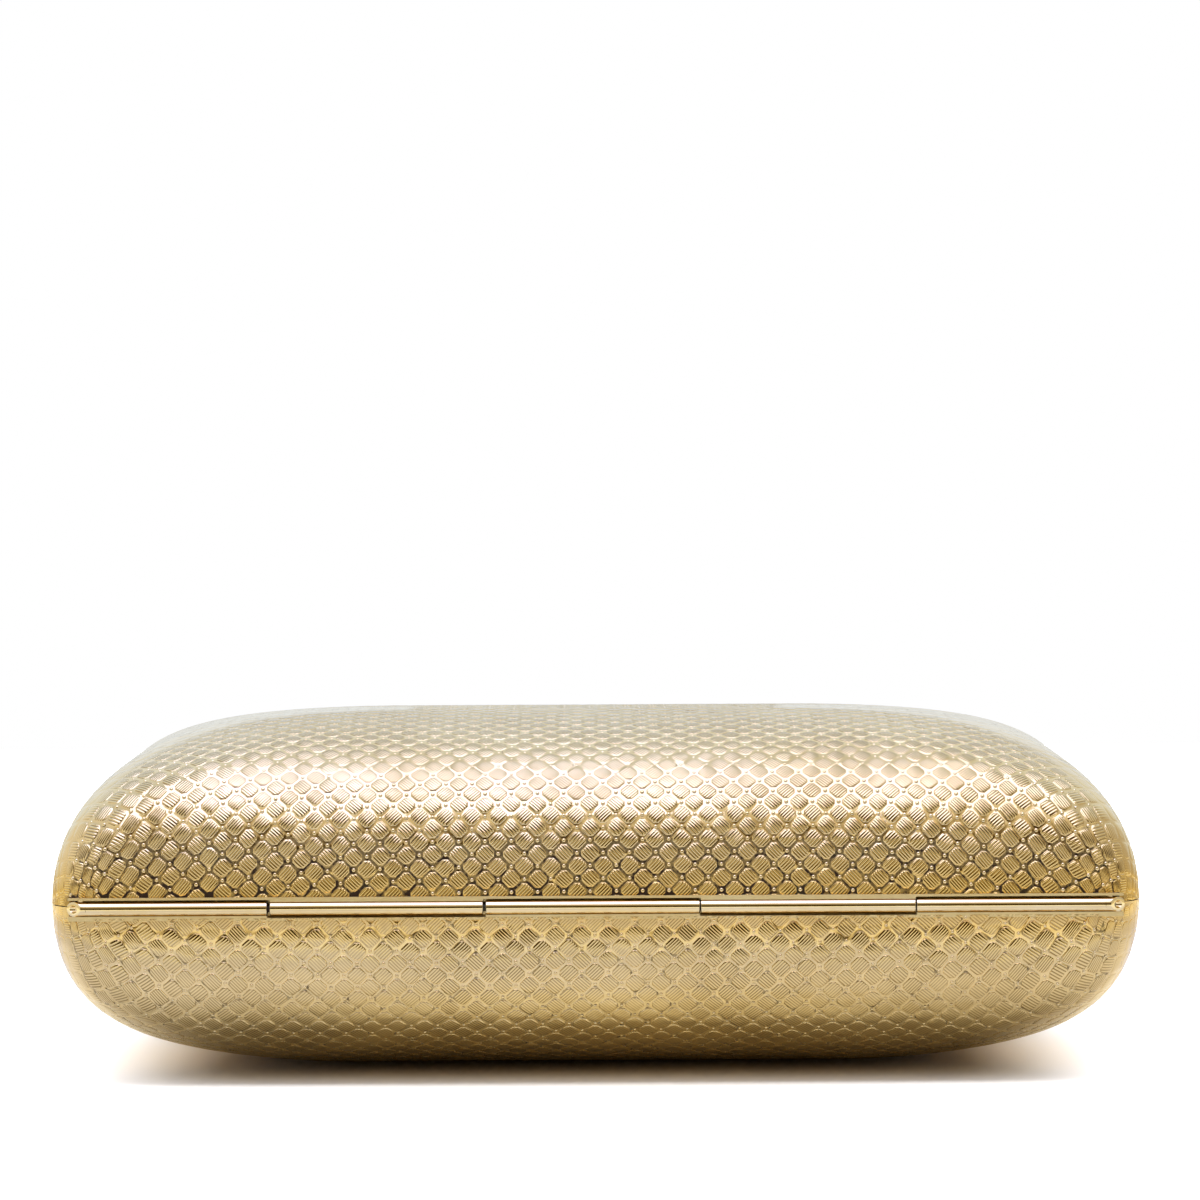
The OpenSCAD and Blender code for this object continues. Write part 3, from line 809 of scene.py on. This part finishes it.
def woven_sheet(name, key, material):
    """The relief of one shell, mapped from the flat sheet and not yet trimmed."""
    weave, is_lid = WEAVE[key], key == "lid"
    centres = lattice_points(weave, 0.5)
    points = np.column_stack([centres, np.zeros(len(centres))])
    facing = np.tile((0.0, 0.0, 1.0), (len(points), 1))
    mesh = repeated(name, points, facing, tile_mesh(weave), 0.01 * MM, material)
    flat = vertex_array(mesh)
    p, q = lattice_of(weave, flat)
    flat = hand_cut(flat, p, q, weave["depth"])
    place, normal, miss = SHEET_MAP.lay(flat[:, :2])
    at_end = end_share(place)
    grown = smooth((place[:, 2] - RIM_PLAIN) / RIM_FADE)
    height = flat[:, 2] * (grown * (1 - (1 - END_RELIEF) * at_end))
    store_value(mesh, "relief", 1 + height / weave["depth"])
    store_value(mesh, "at_end", at_end)
    height *= 1 - CROWN_WORN * smooth(normal[:, 2] * 2.5 - 1.4)
    place, normal = to_half(place, is_lid), turned_over(normal, is_lid)
    if not is_lid:
        place, height = over_bearer(place, height)
    place += normal * height[:, None]
    mesh.vertices.foreach_set("co", place.ravel())
    store_uv(mesh, "lattice", np.column_stack([p, q] if is_lid else [q, p]))
    store_value(mesh, "miss", miss)
    return mesh


def strip_edge(is_lid):
    """Height at which the sheet ends along the hinge."""
    return BEARER_HIGH[2] if is_lid else HINGE_Z - LIP_EDGE


def from_button(c):
    """Distance of a place on the clasp side from the button's axis."""
    return math.hypot(c.x, c.z - BUTTON_Z) if c.y > 0 else math.inf


def near_hinge(c):
    return c.y < BEARER_HIGH[1] + 1.5 * MM and abs(c.z - HINGE_Z) < 5 * MM


def cut(bm, near, point, normal):
    """Splits along a plane the faces whose middles are near."""
    faces = [f for f in bm.faces if near(f.calc_center_median())]
    edges = dict.fromkeys(e for f in faces for e in f.edges)
    verts = dict.fromkeys(v for f in faces for v in f.verts)
    bmesh.ops.bisect_plane(bm, geom=[*faces, *edges, *verts], dist=1e-7, plane_co=point, plane_no=normal)


def drop(bm, unwanted):
    """Deletes the faces whose middles are unwanted."""
    faces = [f for f in bm.faces if unwanted(f.calc_center_median())]
    bmesh.ops.delete(bm, geom=faces, context="FACES")


def trim_sheet(bm, is_lid):
    """Trims the relief at the seam, around the hinge and, on the base, behind the collar."""
    miss = bm.verts.layers.float["miss"]
    bmesh.ops.delete(bm, geom=[v for v in bm.verts if v[miss] > OFF_SHEET], context="VERTS")
    side = 1 if is_lid else -1
    seam_z, strip_z = PART_Z + side * SEAM, strip_edge(is_lid)
    left, right = BEARER_LOW[0], BEARER_HIGH[0]
    cut(bm, lambda c: abs(c.z - seam_z) < 2 * MM, (0, 0, seam_z), (0, 0, 1))
    drop(bm, lambda c: side * (c.z - seam_z) < 0)
    cut(bm, near_hinge, (0, 0, strip_z), (0, 0, 1))
    for x in (left, right):
        cut(bm, near_hinge, (x, 0, 0), (1, 0, 0))
    drop(bm, lambda c: side * (c.z - strip_z) < 0 and c.y < BEARER_HIGH[1] and left < c.x < right)
    if not is_lid:
        drop(bm, lambda c: from_button(c) < COLLAR_R - 0.55 * MM)
    bmesh.ops.delete(bm, geom=[v for v in bm.verts if not v.link_faces], context="VERTS")


def turn_rim(bm, is_lid):
    """Gives the trimmed edge the thickness of the sheet and a short wall inside."""
    bm.normal_update()
    edges = [e for e in bm.edges if e.is_boundary]
    edges = [e for e in edges if from_button((e.verts[0].co + e.verts[1].co) / 2) >= COLLAR_R]
    inward = {}
    for e in edges:
        e.smooth = False
        for v in e.verts:
            n = Vector((v.normal.x, v.normal.y, 0))
            inward[v] = -n.normalized() * SHEET if n.length > 0.1 else Vector()
    face = bmesh.ops.extrude_edge_only(bm, edges=edges)["geom"]
    fresh = [v for v in face if isinstance(v, bmesh.types.BMVert)]
    olds = list(inward)
    tree = nearest([v.co for v in olds])
    for v in fresh:
        v.co += inward[olds[tree.find(v.co)[1]]]
    inner = [e for e in face if isinstance(e, bmesh.types.BMEdge)]
    wall = bmesh.ops.extrude_edge_only(bm, edges=inner)["geom"]
    deep = [v for v in wall if isinstance(v, bmesh.types.BMVert)]
    for v in deep:
        v.co.z += RIM_WALL if is_lid else -RIM_WALL
    relief = bm.verts.layers.float["relief"]
    for v in fresh + deep:
        v[relief] = -1.0


def all_round(quarter):
    """The quarter mirrored into full rings, one row of them for each of its own."""
    parts = ((1, 1, 1), (-1, 1, -1), (-1, -1, 1), (1, -1, -1))
    return np.concatenate([(quarter[::order] * (sx, sy, 1))[:-1] for sx, sy, order in parts])


def join_inner(bm, is_lid):
    """Adds the plain inner face of a shell, from behind its frame to the crown."""
    u, v = np.meshgrid(quarter_steps(2, 8, 4), np.linspace(0, 0.95, 22), indexing="ij")
    ring = all_round(surface(u, v) - surface_normal(u, v) * SHEET)
    count, rows = ring.shape[:2]
    faces = bands(count, rows) + [tuple(range(count))[::-1]]
    relief = bm.verts.layers.float["relief"]
    verts = [bm.verts.new(p) for p in to_half(ring.transpose(1, 0, 2).reshape(-1, 3), is_lid)]
    for vert in verts:
        vert[relief] = 1.0
    for face in faces if is_lid else flipped(faces):
        bm.faces.new([verts[i] for i in face])


def woven_shell(name, key, material):
    is_lid = key == "lid"
    mesh = woven_sheet(name, key, material)
    bm = bmesh.new()
    bm.from_mesh(mesh)
    if not is_lid:
        bmesh.ops.reverse_faces(bm, faces=bm.faces)
    trim_sheet(bm, is_lid)
    turn_rim(bm, is_lid)
    join_inner(bm, is_lid)
    bmesh.ops.triangulate(bm, faces=[f for f in bm.faces if len(f.verts) > 4])
    bm.to_mesh(mesh)
    bm.free()
    shade_smooth(mesh)
    return add_object(name, mesh)


def beads(name, key, material):
    """A bead wherever channels cross, clear of the seam, the hinge and the collar."""
    weave, is_lid = WEAVE[key], key == "lid"
    radius = weave["bead_r"]
    place, normal, miss = SHEET_MAP.lay(lattice_points(weave, 0.0))
    keep = (miss < 0.02 * MM) & (place[:, 2] > RIM_PLAIN + RIM_FADE)
    depth = weave["depth"] - 0.02 * MM + 0.5 * radius * end_share(place)
    depth += CROWN_SUNK * smooth(normal[:, 2] * 2 - 1)
    place, normal = to_half(place, is_lid), turned_over(normal, is_lid)
    x, y, z = place.T
    past_strip = (z - strip_edge(is_lid)) * (1 if is_lid else -1)
    keep &= ~((y < BEARER_HIGH[1]) & (np.abs(x) < BEARER_HIGH[0] + radius) & (past_strip < radius))
    if not is_lid:
        keep &= ~((y > 0) & (np.hypot(x, z - BUTTON_Z) < COLLAR_R + radius))
        place, depth = over_bearer(place, depth)
    points = (place - normal * depth[:, None])[keep]
    mesh = repeated(name, points, normal[keep], bead_mesh(radius), 0.0, material)
    store_value(mesh, "foot", np.tile([*np.repeat((0.9, 0.25, 0.0), RING_SIDES), 0.0], len(points)))
    shade_smooth(mesh)
    return add_object(name, mesh)


# ---- hinge
def turned(name, profile, lean, sides=64):
    """A closed profile of (x, radius) turned about the hinge; lean moves a point along by its depth."""
    points = []
    for angle in ring_angles(sides):
        for (x, r), slope in zip(profile, lean):
            y = r * math.cos(angle)
            points.append((x + slope * y, HINGE_Y + y, HINGE_Z + r * math.sin(angle)))
    faces = [tuple(v % len(points) for v in face) for face in bands(len(profile), sides + 1)]
    return mesh_from(name, points, faces)


def tube_profile(x0, x1):
    """Tube section with softly rounded outer edges and extra rings near its ends."""
    outer, inner, soft = TUBE_R, PIN_R + 0.05 * MM, 0.09 * MM
    line = [(0.0, outer - soft), (soft * 0.3, outer - soft * 0.3), (soft, outer)]
    line += [(x, outer) for x in (0.4 * MM, 0.9 * MM, 2 * MM, 4.5 * MM)]
    right = [(x1 - x, r) for x, r in reversed(line)]
    return [(x0 + x, r) for x, r in line] + right + [(x1, inner), (x0, inner)]


def knuckle(index, material):
    """One length of the tube; the outer ends of the first and the last are mitred."""
    low, high = KNUCKLES[index]
    first, last = index == 0, index == 4
    x0, x1 = -TUBE_END if first else low[0], TUBE_END if last else high[0]
    profile = tube_profile(x0, x1)
    lean = [(last and x1 - x < MITRE) - (first and x - x0 < MITRE) for x, _ in profile]
    mesh = turned(f"hinge_knuckle_{index + 1}", profile, lean)
    x = vertex_array(mesh)[:, 0]
    from_joint = np.minimum(np.inf if first else x - x0, np.inf if last else x1 - x)
    store_value(mesh, "from_end", np.clip(from_joint / JOINT_TARNISH, 0, 1))
    piece = add_piece(mesh, material)
    mesh.set_sharp_from_angle(angle=math.radians(40))
    return piece


def pin(material):
    """The hinge pin, with domed ends that stand a little back in the mitred tube ends."""
    sides = 40
    dome = [(0.1, 0.45), (0.28, 0.8), (0.5, 0.97), (0.7, 1.0)]
    profile = [(-PIN_END + x * PIN_R, r * PIN_R) for x, r in dome]
    profile += [(PIN_END - x * PIN_R, r * PIN_R) for x, r in reversed(dome)]
    points = [(x, HINGE_Y + r * math.cos(angle), HINGE_Z + r * math.sin(angle))
              for x, r in profile for angle in ring_angles(sides)]
    tip, last = len(points), len(points) - sides
    points += [(-PIN_END, HINGE_Y, HINGE_Z), (PIN_END, HINGE_Y, HINGE_Z)]
    faces = bands(sides, len(profile)) + flipped(fan(0, sides, tip)) + fan(last, sides, tip + 1)
    return add_piece(mesh_from("hinge_rod", points, faces), material)


# ---- lining
def lining(name, key, material):
    """A padded satin skin: plain outside, softly puffed and gathered towards its rolled edge inside."""
    start = 1 - math.asin(LINING_START / RISE) / math.asin(CROWN_SHARE)
    v = np.linspace(0, start, 34)
    grid = np.meshgrid(quarter_steps(19, 17, 35), v, indexing="ij")
    point, facing = all_round(surface(*grid)), all_round(surface_normal(*grid))
    step = np.linalg.norm(np.diff(point[:, -1], axis=0, append=point[:1, -1]), axis=1)
    around = np.concatenate([[0], np.cumsum(step)[:-1]])
    length = step.sum()
    pleats = 2 * math.pi * round(length / PLEAT) / length
    along = around[:, None] * pleats + 1.3 * np.sin(around[:, None] * 2 * math.pi * 9 / length)
    puff = 0.22 * MM * smooth(v / start)[None] ** 2 * np.sin(along)
    x, y, z = np.moveaxis(point, -1, 0)
    puff += 0.12 * MM * np.sin(x * 130) * np.sin(y * 170 + z * 90)
    inside = point - facing * (LINING_IN + puff)[..., None]
    outside = point - facing * LINING_OUT

    # a rolled edge joins the two skins, and each is closed at its crown
    edge_out, edge_in = outside[:, -1], inside[:, -1]
    down = edge_out - outside[:, -2]
    down /= np.linalg.norm(down, axis=1, keepdims=True)
    roll = [edge_out * (1 - share) + edge_in * share + down * proud * MM
            for share, proud in ((0.12, 0.1), (0.5, 0.16), (0.88, 0.1))]
    rings = [*outside.transpose(1, 0, 2), *roll, *inside.transpose(1, 0, 2)[::-1]]
    count, tip = len(around), len(around) * len(rings)
    points = np.concatenate([*rings, [rings[0].mean(axis=0), rings[-1].mean(axis=0)]])
    faces = bands(count, len(rings)) + flipped(fan(0, count, tip)) + fan(tip - count, count, tip + 1)
    down_skin = np.repeat([*v, 1, 1, 1, *v[::-1]], count) * 0.06
    uv = np.column_stack([np.tile(around, len(rings)), down_skin])
    is_lid = key == "lid"
    mesh = mesh_from(name, to_half(points, is_lid), faces if is_lid else flipped(faces))
    store_uv(mesh, "cloth", np.concatenate([uv, [[0, 0], [0, 0]]]))
    face_outward(mesh)
    return add_piece(mesh, material)


def notch_for_housing(obj):
    """Cuts the base lining clear of the catch housing."""
    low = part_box("catch_housing")[0]
    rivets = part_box("catch_rivets")[0][2]
    half = HOUSING_HALF + HOUSING_GAP
    corners = [(x, y, z) for x in (-half, half) for y in (low[1] - HOUSING_GAP, HALF_D)
               for z in (rivets - HOUSING_GAP, PART_Z)]
    faces = [(0, 1, 3, 2), (4, 6, 7, 5), (0, 4, 5, 1), (2, 3, 7, 6), (0, 2, 6, 4), (1, 5, 7, 3)]
    block = add_object("notch_block", mesh_from("notch_block", corners, faces))
    face_outward(block.data)
    modifier = obj.modifiers.new("notch", "BOOLEAN")
    modifier.object, modifier.operation, modifier.solver = block, "DIFFERENCE", "EXACT"
    mesh = as_built(obj)
    obj.modifiers.clear()
    obj.data = mesh
    bpy.data.objects.remove(block)


# ---- stage
def camera():
    """The photograph's camera, found from the case's outline and the rows of its pattern."""
    distance, elevation, roll = 854.61 * MM, math.radians(5.154), math.radians(0.2975)
    pixels, frame_px = 5364.03, 1200.0
    # where the picture shows the middle of the hinge side, from its upper left corner
    middle_px = (595.76, 905.25)
    seen = Vector((middle_px[0] - frame_px / 2, frame_px / 2 - middle_px[1]))
    pixels *= math.cos(math.atan(seen.length / pixels))
    target = Vector((0, -HALF_D, PART_Z))
    eye = target + distance * Vector((0, -math.cos(elevation), math.sin(elevation)))
    toward = Vector((*seen, -pixels)).normalized()
    level = Vector((math.cos(roll), math.sin(roll), 0))
    level = (level - toward * level.dot(toward)).normalized()
    ahead, right = (target - eye).normalized(), Vector((1, 0, 0))
    world = Matrix((right, ahead, right.cross(ahead))).transposed()
    local = Matrix((level, toward, level.cross(toward)))
    data = bpy.data.cameras.new("camera")
    data.sensor_width = 36.0
    data.lens = pixels / frame_px * data.sensor_width
    data.clip_start, data.clip_end = 0.01, 50.0
    obj = add_object("camera", data)
    obj.matrix_world = Matrix.Translation(eye) @ (world @ local).to_4x4()
    bpy.context.scene.camera = obj


def floor():
    """A table that the camera sees white under the case's shadow, with painted warm light near the case; the
    gold mirrors it in greys with painted light and shade.
    """
    near, far, side = -0.6, 0.85, 1.2
    tone_reach, end_squeeze = 0.4, 0.55
    corners = [(-side, near, 0), (side, near, 0), (side, far, 0), (-side, far, 0)]
    mesh = mesh_from("table", corners, [(0, 1, 2, 3)])
    material, shader, place = new_material("table_white", (0.9, 0.9, 0.9))
    x, y, _ = axes(place)
    x *= end_squeeze
    away = (x * x + y * y).reckon("SQRT") / tone_reach
    # painted light and shade in the tone the gold mirrors, set by distance from the case
    mirrored = away.ramp(
        (0.095, (0.74, 0.68, 0.49)), (0.125, (0.6, 0.59, 0.54)), (0.158, (0.4, 0.41, 0.47)),
        (0.25, (0.286, 0.296, 0.37)), (0.42, (0.407, 0.418, 0.44)), (0.6, (0.495, 0.495, 0.43)),
        (0.78, (0.29, 0.25, 0.15)))
    # close by, painted warm light stands for the light the case throws on it
    white = away.ramp((0.06, (1.0, 0.93, 0.82)), (0.13, (1.0, 0.985, 0.975)))
    plug(shader, {"Base Color": mix(to_camera(place.tree), mirrored, white), "Roughness": 0.9,
                  "Specular IOR Level": 0.0})
    mesh.materials.append(material)
    obj = add_object("table", mesh)
    return obj


def studio():
    """The room: dark low in front, bright over the case and behind it, pale sides, white to the camera."""
    world = bpy.data.worlds.new("studio")
    bpy.context.scene.world = world
    world.use_nodes = True
    tree = world.node_tree
    x, y, z = axes(wire(tree, "ShaderNodeTexCoord", out="Generated"))
    # half a turn from the horizon in front over the zenith to the horizon behind
    over = z.reckon("MAXIMUM", 0.0).reckon("ARCTAN2", y * -1.0) / math.pi
    arch = over.ramp(
        (0.0, (0.045, 0.029, 0.012)), (0.05, (0.05, 0.034, 0.016)), (0.12, (0.2, 0.15, 0.09)),
        (0.2, (0.78, 0.73, 0.65)), (0.27, (0.81, 0.82, 0.93)), (0.6, (0.67, 0.76, 1.06)),
        (0.75, (0.87, 1.02, 1.4)), (1.0, (0.85, 0.93, 1.0)))
    sides = mix(x < 0.0, (0.6, 0.58, 0.58), (0.85, 0.85, 0.92))
    aside = abs(x).ramp((0.5, 0.0), (0.8, 1.0))
    ahead = (y < 0.0) * (1.0 - aside)
    under = mix(ahead, (0.8, 0.8, 0.8), (0.07, 0.045, 0.02))
    light = mix(z < 0.0, mix(aside, arch, sides), under)
    plug(tree.nodes["Background"], {"Color": mix(to_camera(tree), light, (1.0, 1.0, 1.0)), "Strength": 1.0})


def softbox(name, place, size, radiance, colour, in_gold=True, on_cloth=True):
    """A soft lamp facing straight down; in_gold: mirrored by metal, on_cloth: lights what isn't metal."""
    data = bpy.data.lights.new(name, "AREA")
    data.shape = "RECTANGLE"
    data.size, data.size_y = size
    data.energy = radiance * math.pi * size[0] * size[1]
    data.color = colour
    obj = add_object(name, data)
    obj.location = place
    obj.visible_glossy, obj.visible_diffuse = in_gold, on_cloth
    return obj


def lamps(table):
    """One softbox over the case, bluish in the gold and plain on the cloth, and one that clears the table."""
    overhead = ((-0.02, -0.22, 0.6), (0.6, 0.72), 1.6)
    softbox("overhead", *overhead, (0.84, 0.93, 2.14), on_cloth=False)
    softbox("overhead_plain", *overhead, (1.0, 0.94, 0.72), in_gold=False)
    table_light = softbox("table_light", (0, 0.1, 1.0), (4.5, 1.0), 4.6, (1.0, 1.0, 1.0), in_gold=False)
    # it lights the table alone, and everything still throws its shadow there
    lit = bpy.data.collections.new("lit_by_table_light")
    lit.objects.link(table)
    table_light.light_linking.receiver_collection = lit


# ---- the case
def refinish(mesh, material):
    mesh.materials.clear()
    mesh.materials.append(material)


def bending_spring(material):
    """The catch spring: its foot stays on the base and its leaf bends back with the button."""
    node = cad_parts["catch_spring"]
    mesh = node.data.copy()
    mesh.transform(node.matrix_world)
    refinish(mesh, material)
    leaf = add_object("catch_leaf", mesh)
    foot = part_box("catch_rivets")[1][2]
    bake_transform(leaf, "base", "button", start=(0, 0, foot), end=(0, 0, BUTTON_Z - 1 * MM))
    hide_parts("catch_spring")


def plain_gilt(name, pale, warm, polish, smears, specks_from=0.62):
    spotted = specks(350.0, 4.0, specks_from, (specks_from + 0.1, 0.8))
    return old_metal(name, (pale, warm, polish, smears), spotted)


def dress():
    """Makes every piece, sets it on its body, and gives the CAD nodes that stay their finish."""
    tiles = {key: weave_material(key) for key in WEAVE}
    bead = old_metal("gilt_beads", ((0.88, 0.7, 0.36), (0.8, 0.59, 0.25), 0.09, 0.06),
                     lambda place: stored(place.tree, "foot"), (0.8, 0.65, 0.4))
    hinge = old_metal("polished_hinge", TUBE_GOLD, joint_tarnish, (0.8, 0.64, 0.36))
    satin = satin_material()
    strip = plain_gilt("hinge_strip_gilt", (0.95, 0.76, 0.38), (0.88, 0.66, 0.28), 0.34, 0.1, 0.72)
    rim = plain_gilt("mouth_frame_gilt", (0.8, 0.66, 0.42), (0.74, 0.57, 0.32), 0.18, 0.1, 0.72)
    clasp = plain_gilt("clasp_gilt", (0.84, 0.68, 0.4), (0.78, 0.6, 0.32), 0.1, 0.06)
    fitting = plain_gilt("catch_brass", (0.72, 0.58, 0.34), (0.62, 0.46, 0.24), 0.26, 0.14)
    steel = old_metal("spring_steel", ((0.58, 0.57, 0.55), (0.45, 0.43, 0.4), 0.22, 0.15),
                      specks(700.0, 3.0, 0.6, (0.75, 0.6)), (0.5, 0.5, 0.5))
    for key, body, node in (("lid", "lid", "upper"), ("base", "base", "lower")):
        shell = woven_shell(f"{key}_woven_shell", key, tiles[key])
        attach(shell, body)
        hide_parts(f"{node}_shell")
        dots = beads(f"{key}_beads", key, bead)
        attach(dots, body)
        cloth = lining(f"{key}_satin_lining", key, satin)
        if key == "base":
            notch_for_housing(cloth)
        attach(cloth, body)
        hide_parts(f"{node}_lining")
    for index in range(5):
        piece = knuckle(index, hinge)
        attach(piece, "lid" if index in (1, 3) else "base")
        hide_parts(f"knuckle_{index + 1}")
    rod = pin(old_metal("hinge_rod_gilt", TUBE_GOLD, rod_tarnish, (0.8, 0.64, 0.36)))
    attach(rod, "base")
    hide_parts("hinge_pin")
    for name, material in {
        "lower_bearer": strip, "upper_bearer": strip, "lower_frame": rim, "upper_frame": rim,
        "button_collar": clasp, "clasp_button": clasp, "striker_plate": steel,
        "catch_housing": fitting, "catch_rivets": fitting, "housing_rivets": fitting,
        "striker_rivets": fitting,
    }.items():
        refinish(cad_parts[name].data, material)
    bending_spring(steel)


SHEET_MAP = SheetMap()
camera()
table = floor()
studio()
lamps(table)
dress()
bpy.context.scene.view_settings.view_transform = "Standard"
